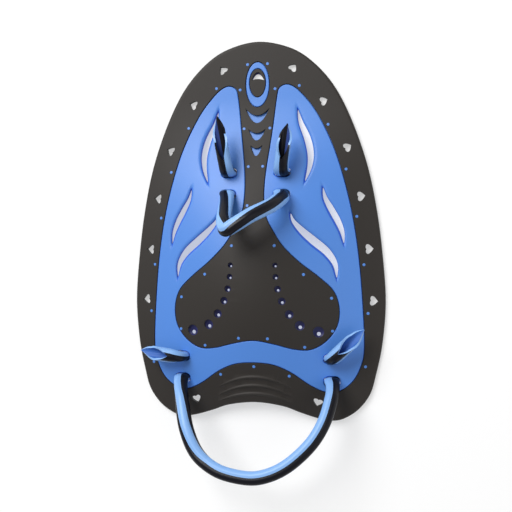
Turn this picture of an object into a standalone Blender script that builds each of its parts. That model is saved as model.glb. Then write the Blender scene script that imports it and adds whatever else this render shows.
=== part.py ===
"""A swim hand paddle that lies on its rim, hand side up, fingertips towards +Y.

The plate is rigid and blue. A soft black skin is moulded round its edge, down its neck and over its palm.
Two hollow straps pass through holes in the plate: a small one for the middle finger and a wide one for
the wrist.

Every piece of the plate is drawn flat, as outlines, and raised to the palm bulge at the end.
"""

import math

import bmesh
import bpy
from mathutils import Matrix, Vector

# Plate
PLATE_LENGTH = 0.223
PLATE_WIDTH = 0.150
PLATE_THICKNESS = 0.0030
SKIN_THICKNESS = 0.0012
PALM_RISE = 0.018
PALM_CENTRE = 0.646
EDGE_CHAMFER = 0.0008
FLANGE_REACH = 0.0016
FIT_GAP = 0.0003
WIDEST_FACET = 0.0155

# Holes, windows and ridges
SLOT_RECESS_DEPTH = 0.0006
SLOT_RECESS_MARGIN = 0.0024
SLOT_RECESS_RUNOUT = 0.0055
HEART_WIDTH = 0.0052
SMALLEST_PAD_HOLE = 0.0029
LARGEST_PAD_HOLE = 0.0063
RIDGE_HEIGHT = 0.0008
RIDGE_WIDTH = 0.0017
RING_WIDTH = 0.0138
RING_LENGTH = 0.0264
RING_CENTRE = 0.115
RING_SIDE_WALL = 0.0021
RING_END_WALL = 0.00485
INLAY_SHIFT = 0.0010

# Straps
STRAP_DIAMETER = 0.0083
STRAP_WALL = 0.0014
STRAP_SIDES = 12
PINCHED_WIDTH = 1.14
PINCHED_THICKNESS = 0.67
FLATTENED_THICKNESS = 0.45
HOLE_WEB = 0.0070
TAIL_BEND = 0.0055
CUT_SHARE = 0.95
FINGER_HOLES_OUT = 0.0158
FINGER_HOLES_DOWN = 0.381
FINGER_LOOP_LEAN = 0.021
FINGER_LOOP_HEIGHT = 0.030
WRIST_HOLES_OUT = 0.0445
WRIST_HOLES_DOWN = 0.866
WRIST_LOOP_REACH = 0.0503
WRIST_LOOP_HEIGHT = 0.0307

# Outlines of the right half, each row a place: share of the length down from the tip, share of the
# half width out from the middle line
RIM_OUTLINE = (
    (0.000, 0.000),
    (0.017, 0.240),
    (0.054, 0.420),
    (0.120, 0.595),
    (0.210, 0.733),
    (0.330, 0.857),
    (0.450, 0.932),
    (0.570, 0.977),
    (0.690, 1.000),
    (0.800, 0.974),
    (0.880, 0.925),
    (0.930, 0.880),
    (0.970, 0.790),
    (0.994, 0.680),
    (1.000, 0.590),
    (0.995, 0.490),
    (0.980, 0.350),
    (0.963, 0.210),
    (0.954, 0.000),
)
BLUE_OUTER_BORDER = (
    (0.846, 0.000),
    (0.851, 0.150),
    (0.871, 0.285),
    (0.904, 0.425),
    (0.922, 0.540),
    (0.921, 0.640),
    (0.898, 0.740),
    (0.860, 0.805),
    (0.810, 0.835),
    (0.700, 0.825),
    (0.560, 0.790),
    (0.430, 0.725),
    (0.300, 0.615),
    (0.200, 0.477),
    (0.143, 0.350),
    (0.119, 0.255),
)
BLUE_INNER_BORDER = (
    (0.124, 0.183),
    (0.150, 0.156),
    (0.250, 0.121),
    (0.350, 0.085),
    (0.415, 0.078),
    (0.465, 0.098),
    (0.505, 0.156),
    (0.545, 0.235),
    (0.585, 0.355),
    (0.622, 0.495),
    (0.660, 0.610),
    (0.705, 0.652),
    (0.752, 0.635),
    (0.790, 0.555),
    (0.812, 0.440),
    (0.811, 0.310),
    (0.798, 0.160),
    (0.789, 0.000),
)

# Middle lines of the water slots, each with its widest width
SLOTS = (
    (0.0040, ((0.183, 0.318), (0.218, 0.343), (0.262, 0.397), (0.303, 0.424), (0.340, 0.417), (0.377, 0.385))),
    (0.0036, ((0.392, 0.522), (0.420, 0.541), (0.451, 0.590), (0.480, 0.637), (0.508, 0.670), (0.539, 0.684))),
    (0.0046, ((0.459, 0.280), (0.480, 0.303), (0.506, 0.372), (0.532, 0.460), (0.560, 0.557), (0.592, 0.618),
              (0.628, 0.631))),
)

# Places of the holes of the right half
HEARTS = ((0.072, 0.282), (0.163, 0.525), (0.286, 0.711), (0.415, 0.815), (0.552, 0.877), (0.687, 0.911),
          (0.952, 0.481))
PAD_HOLES = ((0.594, 0.173), (0.624, 0.178), (0.655, 0.193), (0.686, 0.224), (0.720, 0.278), (0.749, 0.356),
             (0.766, 0.494))

# Crescent windows of the neck: place of the cusps down from the tip, half width, then how far the upper
# and the lower edge hang below the cusps
CRESCENTS = ((0.178, 0.0072, 0.0044, 0.0089), (0.235, 0.0051, 0.0024, 0.0067), (0.279, 0.0035, 0.0018, 0.0063))

# Grip ridges: place of the ends down from the tip, half width, rise of the middle above the ends
RIDGES = ((0.914, 0.0215, 0.0064), (0.938, 0.0225, 0.0067), (0.954, 0.0225, 0.0054))

# The loops, each row: share of the half span across, share of the lean or reach towards the wrist, share
# of the height
FINGER_LOOP = (
    (-0.95, 0.17, 0.33),
    (-0.90, 0.48, 0.60),
    (-0.84, 0.79, 0.86),
    (-0.70, 1.00, 0.99),
    (-0.38, 0.88, 1.00),
    (0.17, 0.62, 0.92),
    (0.77, 0.36, 0.65),
    (1.06, 0.12, 0.34),
)
WRIST_LOOP = (
    (-0.985, 0.08, 0.31),
    (-0.93, 0.23, 0.51),
    (-0.83, 0.52, 0.74),
    (-0.66, 0.78, 0.88),
    (-0.385, 0.94, 0.97),
    (-0.03, 1.00, 1.00),
    (0.23, 0.97, 1.00),
    (0.50, 0.85, 0.97),
    (0.77, 0.63, 0.88),
    (0.93, 0.405, 0.74),
    (1.01, 0.17, 0.51),
    (1.02, 0.05, 0.31),
)

# The tails, left and right: how far each runs out of its hole across, towards the tip and up
FINGER_TAILS = ((-0.0046, 0.0310, 0.0130), (0.0043, 0.0260, 0.0115))
WRIST_TAILS = ((-0.0235, 0.0036, 0.0080), (0.0185, 0.0176, 0.0090))

# Colours: red, green, blue, then roughness
BLUE_PLASTIC = (0.13, 0.30, 0.80, 0.45)
BLACK_SKIN = (0.035, 0.032, 0.030, 0.60)
STRAP_BLUE = (0.26, 0.50, 0.88, 0.40)

INLAY_WIDTH = RING_WIDTH - 2 * RING_SIDE_WALL
INLAY_LENGTH = RING_LENGTH - 2 * RING_END_WALL
MOON_WIDTH = 0.80 * INLAY_WIDTH
MOON_HEIGHT = 0.29 * INLAY_LENGTH
SKIN_FLOOR = PLATE_THICKNESS - SKIN_THICKNESS
WEB_THICKNESS = SKIN_FLOOR - FIT_GAP
THROUGH = 2 * PLATE_THICKNESS
MOUTH_HEIGHT = 1.4 * PLATE_THICKNESS
STRAP_RADIUS = STRAP_DIAMETER / 2
PINCHED_HALF_WIDTH = PINCHED_WIDTH * STRAP_RADIUS
PINCHED_HALF_THICKNESS = PINCHED_THICKNESS * STRAP_RADIUS
HOLE_PITCH = HOLE_WEB + 2 * (PINCHED_HALF_THICKNESS + FIT_GAP)


def spot(down, out):
    """A place on the flat plate from its shares of the length and the half width."""
    return Vector((out * PLATE_WIDTH / 2, (0.5 - down) * PLATE_LENGTH))


def palm_height(x, y):
    """How far the palm bulge lifts the plate there: most at the palm, nothing at the rim."""
    across = min(abs(x) / (PLATE_WIDTH / 2), 1.0)
    along = min(abs(y - spot(PALM_CENTRE, 0).y) / (PLATE_LENGTH / 2), 1.0)
    return PALM_RISE * (1 - across**2) ** 2 * (1 - along**2) ** 2


def curve_through(points, steps, closed):
    """A smooth curve through the points, with this many steps between each two."""
    count = len(points)
    ends = count if closed else count - 1
    found = []
    for index in range(ends):
        if closed:
            before, start, end, after = (points[(index + shift) % count] for shift in (-1, 0, 1, 2))
        else:
            start, end = points[index], points[index + 1]
            before = points[index - 1] if index else start * 2 - end
            after = points[index + 2] if index + 2 < count else end * 2 - start
        for step in range(steps):
            t = step / steps
            found.append(
                (
                    2 * start
                    + (end - before) * t
                    + (2 * before - 5 * start + 4 * end - after) * t**2
                    + (3 * start - before - 3 * end + after) * t**3
                )
                / 2
            )
    if not closed:
        found.append(points[-1].copy())
    return found


def across_the_middle(half):
    """The closed outline whose right half runs from the middle line to the middle line."""
    left = [Vector((-point.x, point.y)) for point in reversed(half) if point.x > 0]
    return list(half) + left


def signed_area(outline):
    return sum(a.x * b.y - a.y * b.x for a, b in zip(outline, outline[1:] + outline[:1])) / 2


def grown(outline, distance):
    """The outline moved outwards by a distance, or inwards where it is negative."""
    way = 1 if signed_area(outline) > 0 else -1
    count = len(outline)
    moved = []
    for index, point in enumerate(outline):
        along_in = (point - outline[index - 1]).normalized()
        along_out = (outline[(index + 1) % count] - point).normalized()
        bisector = (along_in + along_out).normalized()
        outwards = Vector((bisector.y, -bisector.x)) * way
        mitre = max(bisector.dot(along_in), 0.5)
        moved.append(point + outwards * distance / mitre)
    return moved


def round_outline(centre, half_width, half_length, sides):
    turns = [2 * math.pi * (side + 0.5) / sides for side in range(sides)]
    return [centre + Vector((half_width * math.cos(turn), half_length * math.sin(turn))) for turn in turns]


def moon_outline(left, half_width, first_rise, second_rise, steps):
    """Two arcs from a left cusp to a right one, each with its own rise in the middle."""
    shares = [step / steps for step in range(steps + 1)]
    first = [left + Vector((2 * half_width * t, first_rise * 4 * t * (1 - t))) for t in shares]
    second = [left + Vector((2 * half_width * t, second_rise * 4 * t * (1 - t))) for t in shares[1:-1]]
    return first + second[::-1]


def leaf_outline(middle_line, width, steps):
    """A long leaf round a middle line, pointed at both ends."""
    line = curve_through(middle_line, steps, closed=False)
    last = len(line) - 1
    right, left = [], []
    for index in range(1, last):
        along = (line[index + 1] - line[index - 1]).normalized()
        half = width / 2 * math.sin(math.pi * index / last) ** 0.7
        sideways = Vector((along.y, -along.x)) * half
        right.append(line[index] + sideways)
        left.append(line[index] - sideways)
    return [line[0]] + right + [line[last]] + left[::-1]


def heart_outline(centre, towards, steps):
    """A heart whose point looks towards a place."""
    aim = (towards - centre).normalized()
    sideways = Vector((-aim.y, aim.x))
    scale = HEART_WIDTH / 32
    found = []
    for step in range(steps):
        turn = 2 * math.pi * step / steps
        across = 16 * math.sin(turn) ** 3
        up = 13 * math.cos(turn) - 5 * math.cos(2 * turn) - 2 * math.cos(3 * turn) - math.cos(4 * turn)
        found.append(centre + (sideways * across - aim * (up + 2.5)) * scale)
    return found


def strap_outline(half_width, half_thickness, sides):
    """The strap's outline: four round lobes with a crease between each two."""
    found = []
    for side in range(sides):
        turn = 2 * math.pi * side / sides
        reach = 1.04 - 0.11 * math.cos(4 * turn)
        found.append(Vector((half_width * reach * math.cos(turn), half_thickness * reach * math.sin(turn))))
    return found


def mirrored(outline):
    return [Vector((-point.x, point.y)) for point in outline]


def both_sides(outlines):
    return list(outlines) + [mirrored(outline) for outline in outlines]


def material(name, colour):
    made = bpy.data.materials.new(name)
    made.use_nodes = True
    surface = made.node_tree.nodes["Principled BSDF"]
    surface.inputs["Base Color"].default_value = (*colour[:3], 1.0)
    surface.inputs["Roughness"].default_value = colour[3]
    surface.inputs["Metallic"].default_value = 0.0
    return made


def prisms(name, outlines, low, high, chamfer=0.0):
    """One object that stands on flat outlines, from one height to another, its outer edges chamfered."""
    work = bmesh.new()
    for outline in outlines:
        if signed_area(outline) < 0:
            outline = outline[::-1]
        levels = [(low, 0.0), (high, 0.0)]
        if chamfer:
            levels = [(low, -chamfer), (low + chamfer, 0.0), (high - chamfer, 0.0), (high, -chamfer)]
        rings = []
        for height, shift in levels:
            ring = grown(outline, shift) if shift else outline
            rings.append([work.verts.new((*point, height)) for point in ring])
        work.faces.new(rings[0][::-1])
        work.faces.new(rings[-1])
        for below, above in zip(rings, rings[1:]):
            for index in range(len(outline)):
                work.faces.new((below[index - 1], below[index], above[index], above[index - 1]))
    mesh = bpy.data.meshes.new(name)
    work.to_mesh(mesh)
    work.free()
    made = bpy.data.objects.new(name, mesh)
    bpy.context.scene.collection.objects.link(made)
    return made


def combine(piece, tool, operation):
    """Cuts the tool from the piece or joins it on, and removes the tool."""
    change = piece.modifiers.new("change", "BOOLEAN")
    change.operation = operation
    change.object = tool
    change.solver = "EXACT"
    bpy.context.view_layer.update()
    solid = bpy.data.meshes.new_from_object(piece.evaluated_get(bpy.context.evaluated_depsgraph_get()))
    piece.modifiers.clear()
    piece.data = solid
    bpy.data.objects.remove(tool)


def cut(piece, outlines, low=-THROUGH, high=THROUGH):
    combine(piece, prisms("cutter", outlines, low, high), "DIFFERENCE")


def add(piece, outlines, low, high):
    combine(piece, prisms("addition", outlines, low, high), "UNION")


def raise_to_palm(piece):
    """Splits the flat piece into small facets and lifts each corner by the palm bulge."""
    work = bmesh.new()
    work.from_mesh(piece.data)
    for axis, span in ((Vector((1, 0, 0)), PLATE_WIDTH), (Vector((0, 1, 0)), PLATE_LENGTH)):
        strips = math.ceil(span / WIDEST_FACET)
        for strip in range(1, strips):
            place = axis * span * (strip / strips - 0.5)
            everything = work.verts[:] + work.edges[:] + work.faces[:]
            bmesh.ops.bisect_plane(work, geom=everything, dist=1e-6, plane_co=place, plane_no=axis)
    bmesh.ops.triangulate(work, faces=work.faces[:])
    for corner in work.verts:
        corner.co.z += palm_height(corner.co.x, corner.co.y)
    work.to_mesh(piece.data)
    work.free()


def finished(piece, name, finish):
    piece.name = name
    piece.data.name = name
    piece.data.materials.clear()
    piece.data.materials.append(finish)
    piece.data.shade_smooth()
    piece.data.set_sharp_from_angle(angle=math.radians(35))
    return piece


def blue_outline():
    half = [spot(*row) for row in BLUE_OUTER_BORDER + BLUE_INNER_BORDER]
    return curve_through(across_the_middle(half), 2, closed=True)


def core_outline():
    """The blue plate's own edge, as if it were solid between its arms, before its flange."""
    half = [spot(*row) for row in BLUE_OUTER_BORDER]
    half.append(spot(BLUE_OUTER_BORDER[-1][0], 0.0))
    return across_the_middle(half)


def ring_outline(gap=0.0):
    return round_outline(spot(RING_CENTRE, 0), RING_WIDTH / 2 + gap, RING_LENGTH / 2 + gap, 20)


def inlay_outline(gap=0.0):
    centre = spot(RING_CENTRE, 0) + Vector((0, INLAY_SHIFT))
    return round_outline(centre, INLAY_WIDTH / 2 + gap, INLAY_LENGTH / 2 + gap, 16)


def inlay_moon(gap=0.0):
    left = spot(RING_CENTRE, 0) + Vector((-MOON_WIDTH / 2, INLAY_SHIFT + INLAY_LENGTH / 2 - 1.42 * MOON_HEIGHT))
    return grown(moon_outline(left, MOON_WIDTH / 2, MOON_HEIGHT, MOON_HEIGHT * 0.16, 8), gap)


def slot_outlines():
    return [leaf_outline([spot(*row) for row in rows], width, 2) for width, rows in SLOTS]


def recess_outlines():
    """A wider leaf round each slot, which runs out past both its ends."""
    found = []
    for width, rows in SLOTS:
        line = [spot(*row) for row in rows]
        first = line[0] + (line[0] - line[1]).normalized() * SLOT_RECESS_RUNOUT
        last = line[-1] + (line[-1] - line[-2]).normalized() * SLOT_RECESS_RUNOUT
        found.append(leaf_outline([first] + line + [last], width + 2 * SLOT_RECESS_MARGIN, 1))
    return found


def flange_outlines(gap=0.0):
    """The two overlapping halves of the plate's hidden layer: its core and the foot of its ring."""
    return grown(core_outline(), FLANGE_REACH + gap), ring_outline(FLANGE_REACH + gap)


def pad_hole_outlines(gap=0.0):
    """Two rows of round holes that grow evenly towards the wrist."""
    growth = (LARGEST_PAD_HOLE / SMALLEST_PAD_HOLE) ** (1 / (len(PAD_HOLES) - 1))
    found = []
    for index, place in enumerate(PAD_HOLES):
        radius = SMALLEST_PAD_HOLE / 2 * growth**index + gap
        found.append(round_outline(spot(*place), radius, radius, 8))
    return both_sides(found)


def heart_outlines():
    edge = rim_outline()
    found = []
    for place in HEARTS:
        centre = spot(*place)
        nearest = min(edge, key=lambda point: (point - centre).length)
        found.append(heart_outline(centre, nearest, 10))
    return both_sides(found)


def rim_outline():
    half = [spot(*row) for row in RIM_OUTLINE]
    return curve_through(across_the_middle(half), 2, closed=True)


def strap_holes(out, down):
    """The right tail hole and the right loop hole of a strap, as places."""
    middle = Vector((out, spot(down, 0).y))
    return middle + Vector((0, HOLE_PITCH / 2)), middle - Vector((0, HOLE_PITCH / 2))


def strap_hole_outlines():
    shape = strap_outline(PINCHED_HALF_WIDTH + FIT_GAP, PINCHED_HALF_THICKNESS + FIT_GAP, STRAP_SIDES)
    found = []
    for out, down in ((FINGER_HOLES_OUT, FINGER_HOLES_DOWN), (WRIST_HOLES_OUT, WRIST_HOLES_DOWN)):
        for hole in strap_holes(out, down):
            found.append([hole + point for point in shape])
    return both_sides(found)


def crescent_outlines():
    found = []
    for down, half_width, upper, lower in CRESCENTS:
        left = spot(down, 0) - Vector((half_width, 0))
        found.append(moon_outline(left, half_width, -upper, -lower, 8))
    return found


def ridge_outlines():
    found = []
    for down, half_width, rise in RIDGES:
        left = spot(down, 0) - Vector((half_width, 0))
        found.append(moon_outline(left, half_width, rise + RIDGE_WIDTH / 2, rise - RIDGE_WIDTH / 2, 10))
    return found


def build_base_plate():
    core, ring_foot = flange_outlines()
    plate = prisms("base_plate", [core], 0.0, WEB_THICKNESS)
    add(plate, [ring_foot], 0.0, WEB_THICKNESS)
    inside_web = WEB_THICKNESS / 2
    add(plate, [blue_outline()], inside_web, PLATE_THICKNESS)
    add(plate, [ring_outline()], inside_web, PLATE_THICKNESS)
    cut(plate, [inlay_outline(FIT_GAP)], low=WEB_THICKNESS)
    cut(plate, both_sides(slot_outlines()))
    cut(plate, both_sides(recess_outlines()), low=PLATE_THICKNESS - SLOT_RECESS_DEPTH)
    cut(plate, strap_hole_outlines() + pad_hole_outlines() + [inlay_moon(FIT_GAP)])
    raise_to_palm(plate)
    return finished(plate, "base_plate", material("blue plastic", BLUE_PLASTIC))


def build_soft_rim(finish):
    rim = prisms("soft_rim", [rim_outline()], 0.0, PLATE_THICKNESS, EDGE_CHAMFER)
    for ridge in ridge_outlines():
        add(rim, [ridge], SKIN_FLOOR, PLATE_THICKNESS + RIDGE_HEIGHT)
    for pocket in flange_outlines(FIT_GAP):
        cut(rim, [pocket], high=SKIN_FLOOR)
    cut(rim, [grown(blue_outline(), FIT_GAP), ring_outline(FIT_GAP)])
    cut(rim, heart_outlines() + pad_hole_outlines(FIT_GAP) + crescent_outlines())
    raise_to_palm(rim)
    return finished(rim, "soft_rim", finish)


def build_oval_inlay(finish):
    inlay = prisms("oval_inlay", [inlay_outline()], SKIN_FLOOR, PLATE_THICKNESS)
    cut(inlay, [inlay_moon()])
    raise_to_palm(inlay)
    return finished(inlay, "oval_inlay", finish)


class Section:
    """One ring of a strap: its middle, its two half sizes and how far it is rolled about its own axis."""

    def __init__(self, middle, half_width=STRAP_RADIUS, half_thickness=STRAP_RADIUS, roll=0.0):
        self.middle = Vector(middle)
        self.half_width = half_width
        self.half_thickness = half_thickness
        self.roll = roll


def opening(middle, share):
    """A section on the way from the pinched shape in a hole to the round one of the free strap."""
    half_width = PINCHED_HALF_WIDTH + (STRAP_RADIUS - PINCHED_HALF_WIDTH) * share
    half_thickness = PINCHED_HALF_THICKNESS + (STRAP_RADIUS - PINCHED_HALF_THICKNESS) * share
    return Section(middle, half_width, half_thickness)


def bridge_sections(tail_hole, loop_hole):
    """From the tail hole down, flat across the plate's back and up through the loop hole."""
    slope_step = 1e-4
    lift_out = palm_height(tail_hole.x + slope_step, tail_hole.y)
    lift_in = palm_height(tail_hole.x - slope_step, tail_hole.y)
    surface_roll = math.atan((lift_out - lift_in) / (2 * slope_step))
    flattened_half_thickness = FLATTENED_THICKNESS * STRAP_RADIUS
    depth = FIT_GAP + flattened_half_thickness
    radius = PINCHED_HALF_THICKNESS
    steps = 3
    found = []
    for hole, way in ((tail_hole, -1), (loop_hole, 1)):
        sections = [opening((*hole, MOUTH_HEIGHT + palm_height(*hole)), 0.0)]
        for step in range(steps + 1):
            share = step / steps
            turn = math.pi / 2 * share
            y = hole.y + way * radius * (1 - math.cos(turn))
            z = radius - depth - radius * math.sin(turn)
            half_thickness = PINCHED_HALF_THICKNESS + (flattened_half_thickness - PINCHED_HALF_THICKNESS) * share
            middle = (hole.x, y, z + palm_height(hole.x, y))
            sections.append(Section(middle, PINCHED_HALF_WIDTH, half_thickness, surface_roll * share))
        found += sections if way < 0 else sections[::-1]
    return found


def tail_sections(hole, run):
    """From the cut tip back to the hole."""
    mouth = Vector((*hole, MOUTH_HEIGHT + palm_height(*hole)))
    bend = mouth + Vector((0, 0, TAIL_BEND))
    tip = mouth + Vector(run)
    direction = (tip - bend).normalized()
    bend_end = bend + direction * TAIL_BEND
    found = [Section(tip)]
    steps = 3
    for step in range(steps):
        t = 1 - step / steps
        place = mouth * (1 - t) ** 2 + bend * 2 * t * (1 - t) + bend_end * t**2
        found.append(opening(place, t))
    return found


def loop_sections(hole, rows, reach, height):
    """The loop from the left hole to the right one."""
    lift = palm_height(*hole)
    mouth = [Vector((hole.x, hole.y, lift + MOUTH_HEIGHT * share)) for share in (1.0, 1.4)]
    points = [Vector((-point.x, point.y, point.z)) for point in mouth]
    points += [Vector((across * hole.x, hole.y - down * reach, lift + up * height)) for across, down, up in rows]
    points += mouth[::-1]
    steps = 2
    curve = curve_through(points, steps, closed=False)[steps:-steps]
    last = len(curve) - 1
    return [opening(place, min(1.0, (min(index, last - index) + 0.5) / 4)) for index, place in enumerate(curve)]


def turned_back(sections):
    for section in sections:
        section.roll = -section.roll
    return sections[::-1]


def frames_along(sections, loop_start, loop_end):
    """A side and an up direction for each section. The side lies across the plate in the holes and under
    it, and what the loop turns it by is taken back evenly along the loop."""
    middles = [section.middle for section in sections]
    count = len(middles)
    along = []
    for index in range(count):
        before, after = middles[max(index - 1, 0)], middles[min(index + 1, count - 1)]
        along.append((after - before).normalized())
    across_plate = Vector((1, 0, 0))
    sides = [None] * count
    sides[loop_start] = across_plate

    def carried(side, start, end):
        moved = along[start].rotation_difference(along[end]) @ side
        return (moved - along[end] * moved.dot(along[end])).normalized()

    for index in range(loop_start - 1, -1, -1):
        sides[index] = carried(sides[index + 1], index + 1, index)
    for index in range(loop_start + 1, count):
        sides[index] = carried(sides[index - 1], index - 1, index)
    reached = sides[loop_end]
    twist = math.atan2(along[loop_end].dot(reached.cross(across_plate)), reached.dot(across_plate))
    for index in range(loop_start, count):
        share = min((index - loop_start) / (loop_end - loop_start), 1.0)
        sides[index] = Matrix.Rotation(twist * share, 3, along[index]) @ sides[index]
    return [(side, direction.cross(side)) for side, direction in zip(sides, along)]


def strap_mesh(name, sections, frames):
    """A hollow tube through the sections. Its two ends are cut as if they were pressed flat: on a long
    slant that opens upwards and comes to a point at both ends."""
    inner_sides = STRAP_SIDES // 2
    count = len(sections)
    work = bmesh.new()
    shells = []
    for thinner, sides in ((0.0, STRAP_SIDES), (STRAP_WALL, inner_sides)):
        rings = []
        for index, (section, (side, up)) in enumerate(zip(sections, frames)):
            outline = strap_outline(section.half_width - thinner, section.half_thickness - thinner, sides)
            turned = Matrix.Rotation(section.roll, 2)
            ring = []
            for point in outline:
                across, rise = turned @ point
                place = section.middle + side * across + up * rise
                if index in (0, count - 1):
                    inwards = sections[1 if index == 0 else -2].middle - section.middle
                    downwards = inwards * inwards.z / inwards.length_squared - Vector((0, 0, 1))
                    place += inwards * CUT_SHARE * downwards.angle(place - section.middle) / math.pi
                ring.append(work.verts.new(place))
            rings.append(ring)
        shells.append(rings)
    for rings, flipped in zip(shells, (False, True)):
        sides = len(rings[0])
        for near, far in zip(rings, rings[1:]):
            for k in range(sides):
                face = (near[k - 1], near[k], far[k], far[k - 1])
                work.faces.new(face[::-1] if flipped else face)
    for end, flipped in ((0, True), (-1, False)):
        outer, inner = shells[0][end], shells[1][end]
        for k in range(inner_sides):
            first, middle, last = outer[2 * k - 2], outer[2 * k - 1], outer[2 * k]
            for face in ((first, middle, inner[k - 1]), (middle, last, inner[k]), (middle, inner[k], inner[k - 1])):
                work.faces.new(face[::-1] if flipped else face)
    bmesh.ops.triangulate(work, faces=work.faces[:])
    bmesh.ops.recalc_face_normals(work, faces=work.faces[:])
    mesh = bpy.data.meshes.new(name)
    work.to_mesh(mesh)
    work.free()
    return mesh


def build_strap(name, finish, holes, tails, rows, reach, height):
    tail_hole, loop_hole = holes
    left_tail_hole = Vector((-tail_hole.x, tail_hole.y))
    left_loop_hole = Vector((-loop_hole.x, loop_hole.y))
    sections = tail_sections(left_tail_hole, tails[0])
    sections += bridge_sections(left_tail_hole, left_loop_hole)
    loop_start = len(sections) - 1
    sections += loop_sections(loop_hole, rows, reach, height)
    loop_end = len(sections)
    sections += turned_back(bridge_sections(tail_hole, loop_hole))
    sections += turned_back(tail_sections(tail_hole, tails[1]))
    mesh = strap_mesh(name, sections, frames_along(sections, loop_start, loop_end))
    strap = bpy.data.objects.new(name, mesh)
    bpy.context.scene.collection.objects.link(strap)
    return finished(strap, name, finish)


def stand_on_origin(pieces):
    """Hangs the pieces on an empty that puts the middle of their underside at the origin."""
    corners = [corner.co for piece in pieces for corner in piece.data.vertices]
    low = Vector([min(corner[axis] for corner in corners) for axis in range(3)])
    high = Vector([max(corner[axis] for corner in corners) for axis in range(3)])
    paddle = bpy.data.objects.new("paddle", None)
    bpy.context.scene.collection.objects.link(paddle)
    paddle.location = (-(low.x + high.x) / 2, -(low.y + high.y) / 2, -low.z)
    for piece in pieces:
        piece.parent = paddle


for old in list(bpy.data.objects):
    bpy.data.objects.remove(old)
black_skin = material("black skin", BLACK_SKIN)
strap_rubber = material("strap rubber", STRAP_BLUE)
stand_on_origin(
    [
        build_base_plate(),
        build_soft_rim(black_skin),
        build_oval_inlay(black_skin),
        build_strap(
            "finger_strap",
            strap_rubber,
            strap_holes(FINGER_HOLES_OUT, FINGER_HOLES_DOWN),
            FINGER_TAILS,
            FINGER_LOOP,
            FINGER_LOOP_LEAN,
            FINGER_LOOP_HEIGHT,
        ),
        build_strap(
            "wrist_strap",
            strap_rubber,
            strap_holes(WRIST_HOLES_OUT, WRIST_HOLES_DOWN),
            WRIST_TAILS,
            WRIST_LOOP,
            WRIST_LOOP_REACH,
            WRIST_LOOP_HEIGHT,
        ),
    ]
)
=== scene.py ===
import math

import bmesh
import bpy
from mathutils import Matrix, Vector
from mathutils.geometry import delaunay_2d_cdt


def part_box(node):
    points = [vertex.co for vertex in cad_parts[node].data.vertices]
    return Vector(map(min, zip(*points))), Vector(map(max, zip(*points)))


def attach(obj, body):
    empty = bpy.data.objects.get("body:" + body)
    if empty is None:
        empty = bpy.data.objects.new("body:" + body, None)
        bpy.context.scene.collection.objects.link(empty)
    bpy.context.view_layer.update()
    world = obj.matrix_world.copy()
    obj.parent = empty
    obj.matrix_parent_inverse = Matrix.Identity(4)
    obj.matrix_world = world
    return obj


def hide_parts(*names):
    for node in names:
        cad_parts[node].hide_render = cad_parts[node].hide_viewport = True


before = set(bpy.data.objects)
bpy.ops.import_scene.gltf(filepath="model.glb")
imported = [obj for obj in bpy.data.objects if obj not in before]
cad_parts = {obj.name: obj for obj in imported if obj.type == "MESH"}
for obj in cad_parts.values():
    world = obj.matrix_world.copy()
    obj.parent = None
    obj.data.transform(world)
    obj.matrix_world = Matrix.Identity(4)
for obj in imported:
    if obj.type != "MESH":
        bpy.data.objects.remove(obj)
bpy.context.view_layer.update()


# The blue plate is one stiff moulding, 3 mm thick where it shows and half that under the black skin.
# Six slots with soft dished edges let water through, eight pinched holes take the straps, and funnels
# lie below the skin's round holes. It is drawn flat and then pressed over the palm form.
PLATE_LENGTH = 0.223
PLATE_WIDTH = 0.150
PLATE_TOP = 0.0030
WEB_TOP = 0.0015
PALM_RISE = 0.018
PALM_CENTRE = 0.646
FACET = 0.0035
SMOOTH_ANGLE = math.radians(50)
SHARP_EDGE = 0.0001
FINE_EDGE = 0.0003
SOFT_EDGE = 0.0004
EDGE_MARGIN = 1.5
SKIN_GAP = 0.0003
FOOT_REACH = 0.0016
OUTLINE_STEPS = 6
CORE_STEPS = 4
RING_FOOT_STEPS = 12
BLUE_OUTER_BORDER = (
    (0.846, 0.000),
    (0.851, 0.150),
    (0.871, 0.285),
    (0.904, 0.425),
    (0.922, 0.540),
    (0.921, 0.640),
    (0.898, 0.740),
    (0.860, 0.805),
    (0.810, 0.835),
    (0.700, 0.825),
    (0.560, 0.790),
    (0.430, 0.725),
    (0.300, 0.615),
    (0.200, 0.477),
    (0.143, 0.350),
    (0.119, 0.255),
)
BLUE_INNER_BORDER = (
    (0.124, 0.183),
    (0.150, 0.156),
    (0.250, 0.121),
    (0.350, 0.085),
    (0.415, 0.078),
    (0.465, 0.098),
    (0.505, 0.156),
    (0.545, 0.235),
    (0.585, 0.355),
    (0.622, 0.495),
    (0.660, 0.610),
    (0.705, 0.652),
    (0.752, 0.635),
    (0.790, 0.555),
    (0.812, 0.440),
    (0.811, 0.310),
    (0.798, 0.160),
    (0.789, 0.000),
)
SLOTS = (
    (0.0040, ((0.183, 0.318), (0.218, 0.343), (0.262, 0.397), (0.303, 0.424), (0.340, 0.417),
              (0.377, 0.385))),
    (0.0036, ((0.392, 0.522), (0.420, 0.541), (0.451, 0.590), (0.480, 0.637), (0.508, 0.670),
              (0.539, 0.684))),
    (0.0046, ((0.459, 0.280), (0.480, 0.303), (0.506, 0.372), (0.532, 0.460), (0.560, 0.557),
              (0.592, 0.618), (0.628, 0.631))),
)
SLOT_DISH_WIDTH = 0.0024
SLOT_DISH_RUNOUT = 0.0055
SLOT_DISH_DEPTH = 0.0009
SLOT_DISH_PROFILE = ((0.0, 0.0), (0.3, 0.04), (0.55, 0.22), (0.75, 0.50), (0.9, 0.78), (0.97, 1.0))
SLOT_WALL_START = 1.25
SLOT_BACK_FLARE = 0.0002
SLOT_STEPS = 40
LEAF_FULLNESS = 0.7
FINGER_HOLE_MIDDLE = (0.381, 0.0158)
WRIST_HOLE_MIDDLE = (0.866, 0.0445)
STRAP_HOLE_PITCH = 0.01316
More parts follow.
